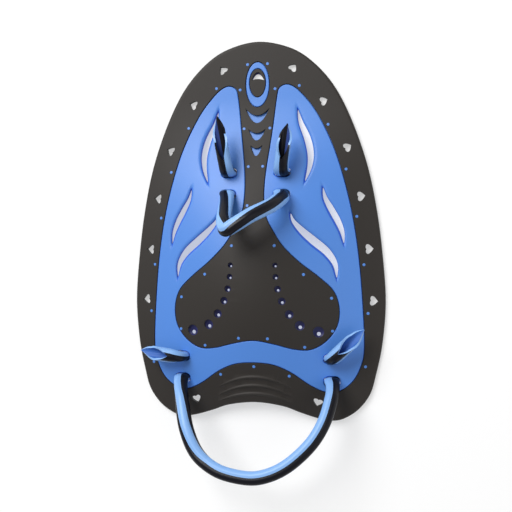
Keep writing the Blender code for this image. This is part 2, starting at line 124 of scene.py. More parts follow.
STRAP_HALF_WIDTH = 0.00473
STRAP_HALF_THICKNESS = 0.00278
STRAP_HOLE_GAP = 0.0003
STRAP_HOLE_EDGE = 0.0006
STRAP_SIDES = 48
LOBE_REACH = 1.02
CREASE_DEPTH = 0.12
CREASE_SHARPNESS = 5
PAD_HOLES = ((0.594, 0.173), (0.624, 0.178), (0.655, 0.193), (0.686, 0.224), (0.720, 0.278),
             (0.749, 0.356), (0.766, 0.494))
PAD_HOLE_SIDES = 28
SMALLEST_PAD_HOLE = 0.0029
LARGEST_PAD_HOLE = 0.0063
FUNNEL_MOUTH_SHARE = 1.05
FUNNEL_NECK_SHARE = 0.36
FUNNEL_NECK_FALL = 0.40
FUNNEL_NECK_HEIGHT = 0.0003
PLATE_MOON_FALL = 0.0010
STEEPEST_FACE = 0.8
RING_CENTRE = 0.115
RING_HALF_WIDTH = 0.0069
RING_HALF_LENGTH = 0.0132
RING_SIDES = 64
INLAY_SHIFT = 0.0010
INLAY_HALF_WIDTH = 0.0048
INLAY_HALF_LENGTH = 0.00835
INLAY_SIDES = 56
MOON_HALF_WIDTH = 0.00384
MOON_HEIGHT = 0.00484
MOON_PLACE = 1.42
MOON_FLATNESS = 0.16
MOON_STEPS = 14
BLUE = (0.075, 0.230, 0.66)
# The plate's blue made darker and deeper for its steep walls: painted shade.
WALL_SHADE_BLUE = (0.020, 0.110, 0.600)
# A dark navy for what shows through the skin's round holes and the inlay's moon: painted shade down in the
# holes.
HOLE_SHADE_NAVY = (0.022, 0.024, 0.120)

rim_low, rim_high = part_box("soft_rim")
PLATE_MIDDLE = Vector((0.0, rim_high[1] - PLATE_LENGTH / 2, rim_low[2]))


def spot(down, out):
    """A place on the flat plate from its shares of the length and the half width."""
    return Vector((out * PLATE_WIDTH / 2, (0.5 - down) * PLATE_LENGTH))


def palm_height(x, y):
    """How far the palm form lifts the flat plate there."""
    across = min(abs(x) / (PLATE_WIDTH / 2), 1.0)
    along = min(abs(y - spot(PALM_CENTRE, 0).y) / (PLATE_LENGTH / 2), 1.0)
    return PALM_RISE * (1 - across**2) ** 2 * (1 - along**2) ** 2


def smooth_line(points, steps, closed=False):
    """A smooth line through the points, with this many steps between each two."""
    count = len(points)
    found = []
    for index in range(count if closed else count - 1):
        start, end = points[index], points[(index + 1) % count]
        before = points[index - 1] if closed or index else start * 2 - end
        after = points[(index + 2) % count] if closed or index + 2 < count else end * 2 - start
        for step in range(steps):
            t = step / steps
            linear = (end - before) * t
            square = (2 * before - 5 * start + 4 * end - after) * t**2
            cube = (3 * start - before - 3 * end + after) * t**3
            found.append((2 * start + linear + square + cube) / 2)
    return found if closed else found + [points[-1].copy()]


def evenly(line, count):
    """The line again, as this many equal steps."""
    lengths = [0.0]
    for start, end in zip(line, line[1:]):
        lengths.append(lengths[-1] + (end - start).length)
    found = []
    index = 0
    for step in range(count + 1):
        wanted = lengths[-1] * step / count
        while index < len(line) - 2 and lengths[index + 1] < wanted:
            index += 1
        share = (wanted - lengths[index]) / (lengths[index + 1] - lengths[index])
        found.append(line[index].lerp(line[index + 1], min(share, 1.0)))
    return found


def whole_outline(half):
    """The closed outline whose right half runs from the middle line to the middle line."""
    return list(half) + [Vector((-point.x, point.y)) for point in reversed(half) if point.x > 1e-6]


def on_both_sides(outlines):
    return list(outlines) + [[Vector((-point.x, point.y)) for point in outline] for outline in outlines]


def grown(outline, distance):
    """The outline moved outwards by a distance."""
    if not distance:
        return list(outline)
    area = sum(a.x * b.y - a.y * b.x for a, b in zip(outline, outline[1:] + outline[:1]))
    moved = []
    for index, point in enumerate(outline):
        along_in = (point - outline[index - 1]).normalized()
        along_out = (outline[(index + 1) % len(outline)] - point).normalized()
        bisector = (along_in + along_out).normalized()
        outwards = Vector((bisector.y, -bisector.x)) * (1 if area > 0 else -1)
        moved.append(point + outwards * distance / max(bisector.dot(along_in), 0.5))
    return moved


def oval(centre, half_width, half_length, sides):
    turns = [2 * math.pi * (side + 0.5) / sides for side in range(sides)]
    return [centre + Vector((half_width * math.cos(turn), half_length * math.sin(turn))) for turn in turns]


def leaf(line, width):
    """A long leaf round a line, pointed at both ends."""
    last = len(line) - 1
    right, left = [], []
    for index in range(1, last):
        along = (line[index + 1] - line[index - 1]).normalized()
        half_width = width / 2 * math.sin(math.pi * index / last) ** LEAF_FULLNESS
        sideways = Vector((along.y, -along.x)) * half_width
        right.append(line[index] + sideways)
        left.append(line[index] - sideways)
    return [line[0]] + right + [line[last]] + left[::-1]


def moon(left, half_width, first_rise, second_rise, steps):
    """Two arcs between the same two cusps, each with its own rise in the middle."""
    shares = [step / steps for step in range(steps + 1)]
    first = [left + Vector((2 * half_width * t, first_rise * 4 * t * (1 - t))) for t in shares]
    second = [left + Vector((2 * half_width * t, second_rise * 4 * t * (1 - t))) for t in shares[1:-1]]
    return first + second[::-1]


def lobed(half_width, half_thickness, sides, phase=0.0):
    """The strap's outline: four round lobes with a crease between each two."""
    found = []
    for side in range(sides):
        turn = 2 * math.pi * side / sides
        reach = LOBE_REACH - CREASE_DEPTH * abs(math.cos(2 * turn)) ** CREASE_SHARPNESS
        aim = turn + phase
        found.append(Vector((half_width * reach * math.cos(aim), half_thickness * reach * math.sin(aim))))
    return found


def strap_holes(down, out):
    """The right tail hole and the right loop hole of a strap."""
    middle = Vector((out, spot(down, 0).y))
    return middle + Vector((0, STRAP_HOLE_PITCH / 2)), middle - Vector((0, STRAP_HOLE_PITCH / 2))


def start_piece(name):
    """An empty mesh in edit mode, ready for its walls."""
    bpy.ops.object.select_all(action="DESELECT")
    bpy.ops.mesh.primitive_circle_add(vertices=3)
    piece = bpy.context.object
    piece.name = piece.data.name = name
    bpy.ops.object.mode_set(mode="EDIT")
    bpy.ops.mesh.delete(type="VERT")
    return piece


def add_rings(piece, rings):
    """Draws a circle, lays it on the first ring and extrudes it from ring to ring. The circle's corners
    can come in any order, so they are sorted by their angle first."""
    bpy.ops.mesh.select_all(action="DESELECT")
    bpy.ops.mesh.primitive_circle_add(vertices=len(rings[0]))
    work = bmesh.from_edit_mesh(piece.data)
    work.verts.index_update()
    circle = [corner for corner in work.verts if corner.select]
    circle.sort(key=lambda corner: math.atan2(*corner.co.xy))
    corners = [corner.index for corner in circle]
    numbers = [corners]
    for step, ring in enumerate(rings):
        if step:
            first_new = len(work.verts)
            bpy.ops.mesh.extrude_region()
            work = bmesh.from_edit_mesh(piece.data)
            work.verts.index_update()
            work.verts.ensure_lookup_table()
            before = set(corners)
            following = {}
            for index in range(first_new, len(work.verts)):
                for edge in work.verts[index].link_edges:
                    other = edge.other_vert(work.verts[index]).index
                    if other in before:
                        following[other] = index
            corners = [following[index] for index in corners]
            numbers.append(corners)
        work.verts.ensure_lookup_table()
        for index, place in zip(corners, ring):
            work.verts[index].co = place
    bmesh.update_edit_mesh(piece.data)
    return numbers


def at_height(outline, height):
    """The flat outline's points, all at this height."""
    return [Vector((point.x, point.y, height)) for point in outline]


def wall_rings(outline, side, top, bottom, top_round=0.0, bottom_round=0.0):
    """A wall's rings, top down. The material is inside the outline where side is 1, outside it at -1. A
    rounded edge gets one more ring in the flat beside it, which keeps the flat's shading flat."""
    quarter = [(1 - math.sin(turn), 1 - math.cos(turn)) for turn in (0.0, 0.4, 0.8, 1.2, math.pi / 2)]
    rings = []
    for rounding, edge, way in ((top_round, top, -1), (bottom_round, bottom, 1)):
        rows = [(inwards * rounding, edge + way * share * rounding) for inwards, share in quarter]
        rows = [(EDGE_MARGIN * rounding, edge)] + rows if rounding else [(0.0, edge)]
        if way > 0:
            rows = rows[::-1]
        rings += [at_height(grown(outline, -side * inwards), height) for inwards, height in rows]
    return rings


def fill_level(piece, height):
    """Closes the piece at one height, between its outer edges and its holes. The fill tool leaves gaps
    among this many corners, so the triangles come from the geometry library. Solid and hole change places
    at each open edge on the way in from outside."""
    work = bmesh.from_edit_mesh(piece.data)
    edges = [edge for edge in work.edges if len(edge.link_faces) == 1]
    edges = [edge for edge in edges if all(abs(corner.co.z - height) < 1e-6 for corner in edge.verts)]
    corners = list(dict.fromkeys(corner for edge in edges for corner in edge.verts))
    number = {corner: index for index, corner in enumerate(corners)}
    links = [[number[corner] for corner in edge.verts] for edge in edges]
    borders = {frozenset(link) for link in links}
    found = delaunay_2d_cdt([corner.co.xy for corner in corners], links, [], 0, 1e-9)
    triangles = [[found[3][index][0] for index in triangle] for triangle in found[2]]
    sides = [[frozenset((three[side - 1], three[side])) for side in range(3)] for three in triangles]
    beside = {}
    for triangle, own_sides in enumerate(sides):
        for side in own_sides:
            beside.setdefault(side, []).append(triangle)
    waiting = [(sharing[0], side in borders) for side, sharing in beside.items() if len(sharing) == 1]
    solid = {}
    while waiting:
        triangle, is_solid = waiting.pop()
        if triangle not in solid:
            solid[triangle] = is_solid
            for side in sides[triangle]:
                waiting += [(other, is_solid != (side in borders)) for other in beside[side]]
    for triangle, is_solid in solid.items():
        if is_solid:
            work.faces.new([corners[index] for index in triangles[triangle]])
    bmesh.update_edit_mesh(piece.data)


def finish_moulding(piece, finish, facet=FACET):
    """Cuts the flat piece into small facets, presses it over the palm form and smooths it."""
    for axis, span in ((Vector((1, 0, 0)), PLATE_WIDTH), (Vector((0, 1, 0)), PLATE_LENGTH)):
        strips = math.ceil(span / facet)
        for strip in range(1, strips):
            bpy.ops.mesh.select_all(action="SELECT")
            place = axis * span * (strip / strips - 0.5)
            bpy.ops.mesh.bisect(plane_co=place, plane_no=axis, threshold=1e-6)
    bpy.ops.mesh.select_all(action="SELECT")
    bpy.ops.mesh.normals_make_consistent(inside=False)
    bpy.ops.object.mode_set(mode="OBJECT")
    for corner in piece.data.vertices:
        corner.co.z += palm_height(corner.co.x, corner.co.y)
        corner.co += PLATE_MIDDLE
    bpy.ops.object.shade_smooth_by_angle(angle=SMOOTH_ANGLE)
    piece.data.materials.clear()
    piece.data.materials.append(finish)


def moulded_plastic(name, colour, roughness, grain, grain_depth, specular=0.5):
    """A plain moulded surface with a fine grain."""
    finish = bpy.data.materials.new(name)
    finish.use_nodes = True
    nodes, links = finish.node_tree.nodes, finish.node_tree.links
    surface = nodes["Principled BSDF"]
    surface.inputs["Base Color"].default_value = (*colour, 1)
    surface.inputs["Roughness"].default_value = roughness
    surface.inputs["Specular IOR Level"].default_value = specular
    places = nodes.new("ShaderNodeTexCoord")
    noise = nodes.new("ShaderNodeTexNoise")
    noise.inputs["Scale"].default_value = grain
    noise.inputs["Detail"].default_value = 3.0
    bump = nodes.new("ShaderNodeBump")
    bump.inputs["Strength"].default_value = 0.35
    bump.inputs["Distance"].default_value = grain_depth
    links.new(places.outputs["Object"], noise.inputs["Vector"])
    links.new(noise.outputs["Fac"], bump.inputs["Height"])
    links.new(bump.outputs["Normal"], surface.inputs["Normal"])
    return finish


def blue_outline():
    half = [spot(*row) for row in BLUE_OUTER_BORDER + BLUE_INNER_BORDER]
    return smooth_line(whole_outline(half), OUTLINE_STEPS, closed=True)


def core_outline(reach):
    """The hidden layer: the plate's outer border, then round the foot of the ring at the tip."""
    half = smooth_line([spot(*row) for row in BLUE_OUTER_BORDER], CORE_STEPS)
    centre = spot(RING_CENTRE, 0)
    for step in range(RING_FOOT_STEPS + 1):
        turn = math.pi / 2 * step / RING_FOOT_STEPS
        half.append(centre + Vector((RING_HALF_WIDTH * math.cos(turn), RING_HALF_LENGTH * math.sin(turn))))
    half[-1].x = 0.0
    return grown(whole_outline(half), reach)


def ring_outline(gap=0.0):
    return oval(spot(RING_CENTRE, 0), RING_HALF_WIDTH + gap, RING_HALF_LENGTH + gap, RING_SIDES)


def inlay_outline(gap=0.0):
    centre = spot(RING_CENTRE, 0) + Vector((0, INLAY_SHIFT))
    return oval(centre, INLAY_HALF_WIDTH + gap, INLAY_HALF_LENGTH + gap, INLAY_SIDES)


def moon_hole(gap=0.0):
    rise = INLAY_SHIFT + INLAY_HALF_LENGTH - MOON_PLACE * MOON_HEIGHT
    left = spot(RING_CENTRE, 0) + Vector((-MOON_HALF_WIDTH, rise))
    return grown(moon(left, MOON_HALF_WIDTH, MOON_HEIGHT, MOON_HEIGHT * MOON_FLATNESS, MOON_STEPS), gap)


def pad_holes(share=1.0, fall=0.0):
    """Two rows of round holes that grow evenly towards the wrist, at a share of their full size and lower
    by a share of their full radius."""
    growth = (LARGEST_PAD_HOLE / SMALLEST_PAD_HOLE) ** (1 / (len(PAD_HOLES) - 1))
    found = []
    for index, place in enumerate(PAD_HOLES):
        radius = SMALLEST_PAD_HOLE / 2 * growth**index
        centre = spot(*place) - Vector((0, fall * radius))
        found.append(oval(centre, share * radius, share * radius, PAD_HOLE_SIDES))
    return on_both_sides(found)


def colour_walls(plate, wall_shade_paint, hole_shade_paint):
    """Paints shade into the colours: the steep walls get a darker, deeper blue, and what shows through the
    skin's round holes and the inlay's moon gets a dark navy, both as painted shade.
    """
    plate.data.materials.append(wall_shade_paint)
    plate.data.materials.append(hole_shade_paint)
    shade_windows = []
    for outline in pad_holes() + [moon_hole()]:
        centre = sum(outline, Vector((0, 0))) / len(outline)
        shade_windows.append((centre, (outline[0] - centre).length))
    for face in plate.data.polygons:
        place = (face.center - PLATE_MIDDLE).xy
        if any((place - centre).length < radius for centre, radius in shade_windows):
            face.material_index = 2
        elif abs(face.normal.z) < STEEPEST_FACE:
            face.material_index = 1


def slot_rings():
    """Each slot's dished edge and wall: from a wide leaf on the surface down to the narrow leaf below."""
    found = []
    for width, rows in SLOTS:
        line = smooth_line([spot(*row) for row in rows], OUTLINE_STEPS)
        first = line[0] + (line[0] - line[1]).normalized() * SLOT_DISH_RUNOUT
        last = line[-1] + (line[-1] - line[-2]).normalized() * SLOT_DISH_RUNOUT
        slot = leaf(evenly(line, SLOT_STEPS), width)
        dish = leaf(evenly([first] + line + [last], SLOT_STEPS), width + 2 * SLOT_DISH_WIDTH)
        for mirror in (1, -1):
            rings = []
            for share, fall in SLOT_DISH_PROFILE:
                ring = [wide.lerp(narrow, share) for wide, narrow in zip(dish, slot)]
                rings.append(at_height(ring, PLATE_TOP - SLOT_DISH_DEPTH * fall))
            rings.append(at_height(slot, PLATE_TOP - SLOT_WALL_START * SLOT_DISH_DEPTH))
            rings.append(at_height(slot, FINE_EDGE))
            rings.append(at_height(grown(slot, SLOT_BACK_FLARE), 0.0))
            for ring in rings:
                for point in ring:
                    point.x *= mirror
            found.append(rings)
    return found


blue_finish = moulded_plastic("blue plastic", BLUE, roughness=0.42, grain=900, grain_depth=0.00004)
blue_plate = start_piece("blue_plate")
add_rings(blue_plate, wall_rings(blue_outline(), 1, PLATE_TOP, WEB_TOP, SOFT_EDGE))
add_rings(blue_plate, wall_rings(ring_outline(), 1, PLATE_TOP, WEB_TOP, SOFT_EDGE))
add_rings(blue_plate, wall_rings(inlay_outline(SKIN_GAP), -1, PLATE_TOP, WEB_TOP, FINE_EDGE))
add_rings(blue_plate, wall_rings(core_outline(FOOT_REACH), 1, WEB_TOP, 0.0, bottom_round=FINE_EDGE))
for rings in slot_rings():
    add_rings(blue_plate, rings)
hole_half_width = STRAP_HALF_WIDTH + STRAP_HOLE_GAP
hole_half_thickness = STRAP_HALF_THICKNESS + STRAP_HOLE_GAP
strap_hole_shape = lobed(hole_half_width, hole_half_thickness, STRAP_SIDES)
for hole_middle in (FINGER_HOLE_MIDDLE, WRIST_HOLE_MIDDLE):
    for hole in strap_holes(*hole_middle):
        for outline in on_both_sides([[hole + point for point in strap_hole_shape]]):
            add_rings(blue_plate, wall_rings(outline, -1, PLATE_TOP, 0.0, STRAP_HOLE_EDGE, FINE_EDGE))
for mouth, neck in zip(pad_holes(FUNNEL_MOUTH_SHARE), pad_holes(FUNNEL_NECK_SHARE, FUNNEL_NECK_FALL)):
    rings = [at_height(mouth, WEB_TOP), at_height(neck, FUNNEL_NECK_HEIGHT), at_height(neck, 0.0)]
    add_rings(blue_plate, rings)
lower_moon = [point - Vector((0, PLATE_MOON_FALL)) for point in moon_hole(SKIN_GAP)]
add_rings(blue_plate, wall_rings(lower_moon, -1, WEB_TOP, 0.0, SHARP_EDGE, SHARP_EDGE))
for level in (PLATE_TOP, WEB_TOP, 0.0):
    fill_level(blue_plate, level)
finish_moulding(blue_plate, blue_finish)
# The steep walls get a darker, deeper copy of the plate's blue as painted shade.
wall_shade_finish = moulded_plastic("blue wall painted shade", WALL_SHADE_BLUE, roughness=0.42, grain=900,
                              grain_depth=0.00004)
# What shows through the skin's round holes and the moon gets a dark navy as painted shade.
navy_hole_shade = moulded_plastic("navy painted hole shade", HOLE_SHADE_NAVY, roughness=0.5, grain=900, grain_depth=0.00004)
colour_walls(blue_plate, wall_shade_finish, navy_hole_shade)
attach(blue_plate, "root")
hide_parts("base_plate")


# The skin is a soft black rubber, moulded in one shot round the plate's edge, down its neck and over
# the palm. Heart-shaped holes follow the rim, three moons on the neck show the blue below, two rows of
# round holes cross the pad, and three low ripples at the wrist end give grip.
SKIN_FLOOR = 0.0018
RIM_TOP_ROUND = 0.0014
RIM_BACK_ROUND = 0.0008
SKIN_HOLE_ROUND = 0.0002
RIM_OUTLINE = (
    (0.000, 0.000),
    (0.017, 0.240),
    (0.054, 0.420),
    (0.120, 0.595),
    (0.210, 0.733),
    (0.330, 0.857),
    (0.450, 0.932),
    (0.570, 0.977),
    (0.690, 1.000),
    (0.800, 0.974),
    (0.880, 0.925),
    (0.930, 0.880),
    (0.970, 0.790),
    (0.994, 0.680),
    (1.000, 0.590),
    (0.995, 0.490),
    (0.980, 0.350),
    (0.963, 0.210),
    (0.954, 0.000),
)
HEARTS = ((0.072, 0.282), (0.163, 0.525), (0.286, 0.711), (0.415, 0.815), (0.552, 0.877),
          (0.687, 0.911), (0.952, 0.481))
HEART_WIDTH = 0.0057
HEART_SIDES = 28
CRESCENTS = (
    (0.178, 0.0072, 0.0044, 0.0089),
    (0.235, 0.0051, 0.0024, 0.0067),
    (0.279, 0.0035, 0.0018, 0.0063),
)
CRESCENT_STEPS = 16
RIDGES = ((0.914, 0.0215, 0.0064), (0.938, 0.0225, 0.0067), (0.954, 0.0225, 0.0054))
RIDGE_WIDTH = 0.0024
RIDGE_HEIGHT = 0.0008
RIDGE_PROFILE = ((0.0, 0.0), (0.25, 0.2), (0.5, 0.62), (0.75, 0.92), (0.95, 1.0))
RIDGE_STEPS = 40
RIDGE_FULLNESS = 0.6
BLACK = (0.025, 0.021, 0.018)


def rim_outline():
    return smooth_line(whole_outline([spot(*row) for row in RIM_OUTLINE]), OUTLINE_STEPS, closed=True)


def heart_holes():
    """Hearts that point at the nearest edge. Each is the well known heart curve, with a softer notch."""
    edge = rim_outline()
    found = []
    for place in HEARTS:
        centre = spot(*place)
        nearest = min(edge, key=lambda point: (point - centre).length)
        aim = (nearest - centre).normalized()
        sideways = Vector((-aim.y, aim.x))
        outline = []
        for step in range(HEART_SIDES):
            turn = 2 * math.pi * step / HEART_SIDES
            across = 16 * math.sin(turn) ** 3
            up = 13 * math.cos(turn) - 4 * math.cos(2 * turn) - 1.5 * math.cos(3 * turn)
            outline.append(centre + (sideways * across - aim * (up + 2.5)) * HEART_WIDTH / 32)
        found.append(outline)
    return on_both_sides(found)


black_finish = moulded_plastic("black skin", BLACK, roughness=0.55, grain=700, grain_depth=0.00006,
                               specular=0.32)
skin = start_piece("black_skin")
add_rings(skin, wall_rings(rim_outline(), 1, PLATE_TOP, 0.0, RIM_TOP_ROUND, RIM_BACK_ROUND))
add_rings(skin, wall_rings(grown(blue_outline(), SKIN_GAP), -1, PLATE_TOP, SKIN_FLOOR, FINE_EDGE))
add_rings(skin, wall_rings(ring_outline(SKIN_GAP), -1, PLATE_TOP, SKIN_FLOOR, FINE_EDGE))
core_hole = core_outline(FOOT_REACH + SKIN_GAP)
add_rings(skin, wall_rings(core_hole, -1, SKIN_FLOOR, 0.0, bottom_round=FINE_EDGE))
for outline in heart_holes():
    add_rings(skin, wall_rings(outline, -1, PLATE_TOP, 0.0))
for outline in pad_holes():
    add_rings(skin, wall_rings(outline, -1, PLATE_TOP, SKIN_FLOOR, SKIN_HOLE_ROUND))
for down, half_width, upper, lower in CRESCENTS:
    outline = moon(spot(down, 0) - Vector((half_width, 0)), half_width, -upper, -lower, CRESCENT_STEPS)
    add_rings(skin, wall_rings(outline, -1, PLATE_TOP, SKIN_FLOOR, SKIN_HOLE_ROUND))
for down, half_width, rise in RIDGES:
    left = spot(down, 0) - Vector((half_width, 0))
    shares = [step / RIDGE_STEPS for step in range(RIDGE_STEPS + 1)]
    arc = [left + Vector((2 * half_width * share, 4 * rise * share * (1 - share))) for share in shares]
    outline = leaf(arc, RIDGE_WIDTH)
    crest = arc + arc[-2:0:-1]
    rings = []
    for share, height in RIDGE_PROFILE:
        ring = []
        for index, (edge, middle) in enumerate(zip(outline, crest)):
            along = min(index, 2 * RIDGE_STEPS - index) / RIDGE_STEPS
            fade = math.sin(math.pi * along) ** RIDGE_FULLNESS
            place = edge.lerp(middle, share)
            ring.append(Vector((place.x, place.y, PLATE_TOP + RIDGE_HEIGHT * height * fade)))
        rings.append(ring)
    add_rings(skin, rings)
    bpy.ops.mesh.edge_face_add()
    bpy.ops.mesh.quads_convert_to_tris()
for level in (PLATE_TOP, SKIN_FLOOR, 0.0):
    fill_level(skin, level)
finish_moulding(skin, black_finish)
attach(skin, "root")
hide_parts("soft_rim")


# The inlay is a small oval island of the same black rubber inside the plate's blue ring. A half moon
# goes right through it near its tip.
inlay = start_piece("oval_island")
add_rings(inlay, wall_rings(inlay_outline(), 1, PLATE_TOP, SKIN_FLOOR, FINE_EDGE))
add_rings(inlay, wall_rings(moon_hole(), -1, PLATE_TOP, SKIN_FLOOR, SHARP_EDGE))
for level in (PLATE_TOP, SKIN_FLOOR):
    fill_level(inlay, level)
finish_moulding(inlay, black_finish)
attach(inlay, "root")
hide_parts("oval_inlay")


# The pins are studs of the blue plate that come up through the skin and lock it in place. They end
# flush with it, as small dots along the rim and round the pad.
PIN_RADIUS = 0.0009
PIN_TOP = 0.00308
PIN_FOOT = 0.0022
PIN_EDGE = 0.0002
PIN_SIDES = 16
RIM_PINS = ((0.061, 0.080), (0.122, 0.332), (0.227, 0.558), (0.345, 0.698), (0.468, 0.781),
            (0.593, 0.835), (0.719, 0.866), (0.857, 0.846), (0.881, 0.270))
PALM_PINS = ((0.128, 0.140), (0.233, 0.103), (0.336, 0.057), (0.440, 0.052), (0.544, 0.166),
             (0.618, 0.386), (0.679, 0.593), (0.764, 0.600), (0.783, 0.113), (0.805, 0.391))
WRIST_PIN = (0.857, 0.000)

pins = start_piece("skin_pins")
pin_places = [spot(*row) for row in RIM_PINS + PALM_PINS]
pin_outlines = on_both_sides([oval(place, PIN_RADIUS, PIN_RADIUS, PIN_SIDES) for place in pin_places])
pin_outlines.append(oval(spot(*WRIST_PIN), PIN_RADIUS, PIN_RADIUS, PIN_SIDES))
for outline in pin_outlines:
    add_rings(pins, wall_rings(outline, 1, PIN_TOP, PIN_FOOT, PIN_EDGE))
for level in (PIN_TOP, PIN_FOOT):
    fill_level(pins, level)
finish_moulding(pins, blue_finish, facet=0.05)
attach(pins, "root")


# Both straps are soft tube, extruded in one go from a blue and a black rubber that change places in
# each quarter. The free ends stand up out of their holes and are cut on a long slant, which shows the
# hollow. This one is the small loop for the middle finger.
STRAP_RADIUS = 0.00415
STRAP_WALL = 0.0012
FLATTENED_HALF_THICKNESS = 0.00187
MOUTH_HEIGHT = 0.0042
TAIL_BEND = 0.0055
CUT_SHARE = 0.95
TAIL_STEPS = 8
BRIDGE_BEND_STEPS = 6
LOOP_STEPS = 8
OPENING_STEPS = 16
FINGER_LOOP_LEAN = 0.021
FINGER_LOOP_HEIGHT = 0.030
FINGER_LOOP = (
    (-0.95, 0.17, 0.33),
    (-0.90, 0.48, 0.60),
    (-0.84, 0.79, 0.86),
    (-0.70, 1.00, 0.99),
    (-0.38, 0.88, 1.00),
    (0.17, 0.62, 0.92),
    (0.77, 0.36, 0.65),
    (1.06, 0.12, 0.34),
)
FINGER_TAILS = ((-0.0046, 0.0310, 0.0130), (0.0043, 0.0260, 0.0115))
FINGER_COLOUR_TURNS = ((-0.32, -0.25), (-0.22, -0.1), (-0.15, 0.0), (0.30, 0.0), (0.50, -0.5), (0.85, -0.5),
                       (1.0, 0.0), (1.15, 0.0), (1.22, -0.1), (1.32, -0.25))
STRAP_BLUE = (0.22, 0.42, 0.78)
STRAP_BLACK = (0.005, 0.005, 0.009)
# Inside the finger strap its blue quarters are a dark navy: painted shade in the hollow.
FINGER_INSIDE_SHADE = (0.012, 0.045, 0.230)


class Section:
    """One ring of a strap: its middle, its two half sizes and its roll about its own line."""

    def __init__(self, middle, half_width=STRAP_RADIUS, half_thickness=STRAP_RADIUS, roll=0.0):
        self.middle = Vector(middle)
        self.half_width = half_width
        self.half_thickness = half_thickness
        self.roll = roll


def opening(middle, share):
    """A section on the way from the pinched shape in a hole to the round one of the free strap."""
    half_width = STRAP_HALF_WIDTH + (STRAP_RADIUS - STRAP_HALF_WIDTH) * share
    half_thickness = STRAP_HALF_THICKNESS + (STRAP_RADIUS - STRAP_HALF_THICKNESS) * share
    return Section(middle, half_width, half_thickness)


def bridge_sections(tail_hole, loop_hole):
    """From the tail hole down, flat across the plate's back and up through the loop hole."""
    slope_step = 1e-4
    lift_out = palm_height(tail_hole.x + slope_step, tail_hole.y)
    lift_in = palm_height(tail_hole.x - slope_step, tail_hole.y)
    surface_roll = math.atan((lift_out - lift_in) / (2 * slope_step))
    depth = STRAP_HOLE_GAP + FLATTENED_HALF_THICKNESS
    radius = STRAP_HALF_THICKNESS
    flattening = FLATTENED_HALF_THICKNESS - STRAP_HALF_THICKNESS
    found = []
    for hole, way in ((tail_hole, -1), (loop_hole, 1)):
        sections = [opening((*hole, MOUTH_HEIGHT + palm_height(*hole)), 0.0)]
        for step in range(BRIDGE_BEND_STEPS + 1):
            share = step / BRIDGE_BEND_STEPS
            turn = math.pi / 2 * share
            y = hole.y + way * radius * (1 - math.cos(turn))
            z = radius - depth - radius * math.sin(turn)
            half_thickness = STRAP_HALF_THICKNESS + flattening * share
            middle = (hole.x, y, z + palm_height(hole.x, y))
            sections.append(Section(middle, STRAP_HALF_WIDTH, half_thickness, surface_roll * share))
        found += sections if way < 0 else sections[::-1]
    return found


def tail_sections(hole, run):
    """From the cut tip back to the hole."""
    mouth = Vector((*hole, MOUTH_HEIGHT + palm_height(*hole)))
    bend = mouth + Vector((0, 0, TAIL_BEND))
    tip = mouth + Vector(run)
    direction = (tip - bend).normalized()
    bend_end = bend + direction * TAIL_BEND
    found = [Section(tip)]
    for step in range(TAIL_STEPS):
        t = 1 - step / TAIL_STEPS
        found.append(opening(mouth * (1 - t) ** 2 + bend * 2 * t * (1 - t) + bend_end * t**2, t))
    return found


def loop_sections(hole, rows, reach, height):
    """The loop from the left hole to the right one. A row is a place on it: its share of the way from the
    middle to the right hole, of the reach along the plate and of the height."""
    lift = palm_height(*hole)
    mouth = [Vector((hole.x, hole.y, lift + MOUTH_HEIGHT * share)) for share in (1.0, 1.4)]
    points = [Vector((-point.x, point.y, point.z)) for point in mouth]
    for across, down, up in rows:
        points.append(Vector((across * hole.x, hole.y - down * reach, lift + up * height)))
    points += mouth[::-1]
    curve = smooth_line(points, LOOP_STEPS)[LOOP_STEPS:-LOOP_STEPS]
    last = len(curve) - 1
    found = []
    for index, place in enumerate(curve):
        found.append(opening(place, min(1.0, (min(index, last - index) + 2) / OPENING_STEPS)))
    return found


def turned_back(sections):
    for section in sections:
        section.roll = -section.roll
    return sections[::-1]


def frames_along(sections, loop_start, loop_end):
    """A side and an up direction for each section. The side lies across the plate in the holes and under
    it, and what the loop turns it by is taken back evenly along the loop."""
    middles = [section.middle for section in sections]
    count = len(middles)
    along = []
    for index in range(count):
        along.append((middles[min(index + 1, count - 1)] - middles[max(index - 1, 0)]).normalized())
    across_plate = Vector((1, 0, 0))
    sides = [None] * count
    sides[loop_start] = across_plate

    def carried(side, start, end):
        moved = along[start].rotation_difference(along[end]) @ side
        return (moved - along[end] * moved.dot(along[end])).normalized()

    for index in range(loop_start - 1, -1, -1):
        sides[index] = carried(sides[index + 1], index + 1, index)
    for index in range(loop_start + 1, count):
        sides[index] = carried(sides[index - 1], index - 1, index)
    reached = sides[loop_end]
    twist = math.atan2(along[loop_end].dot(reached.cross(across_plate)), reached.dot(across_plate))
    for index in range(loop_start, count):
        share = min((index - loop_start) / (loop_end - loop_start), 1.0)
        sides[index] = Matrix.Rotation(twist * share, 3, along[index]) @ sides[index]
    return [(side, direction.cross(side)) for side, direction in zip(sides, along)]


def strap_rings(sections, frames, phases, thinner):
    """The rings of one of the tube's two walls. The first and the last are slid into the slanted cut, which
    comes to a point at both its ends, because the tube is pressed flat where it's cut."""
    rings = []
    last = len(sections) - 1
    for index, (section, (side, up)) in enumerate(zip(sections, frames)):
        half_width = section.half_width - thinner
        half_thickness = section.half_thickness - thinner
        outline = lobed(half_width, half_thickness, STRAP_SIDES, phases[index])
        turned = Matrix.Rotation(section.roll, 2)
        ring = []
        for point in outline:
            across, rise = turned @ point
            place = section.middle + side * across + up * rise
            if index in (0, last):
                inwards = sections[1 if index == 0 else -2].middle - section.middle
                downwards = inwards * inwards.z / inwards.length_squared - Vector((0, 0, 1))
                place += inwards * CUT_SHARE * downwards.angle(place - section.middle) / math.pi
            ring.append(place + PLATE_MIDDLE)
        rings.append(ring)
    return rings


def turns_at(table, share):
    """The quarter turns that a table gives there, on straight lines between its rows."""
    for (start, first), (end, last) in zip(table, table[1:]):
        if share <= end:
            return first + (last - first) * max(0.0, (share - start) / (end - start))
    return table[-1][1]


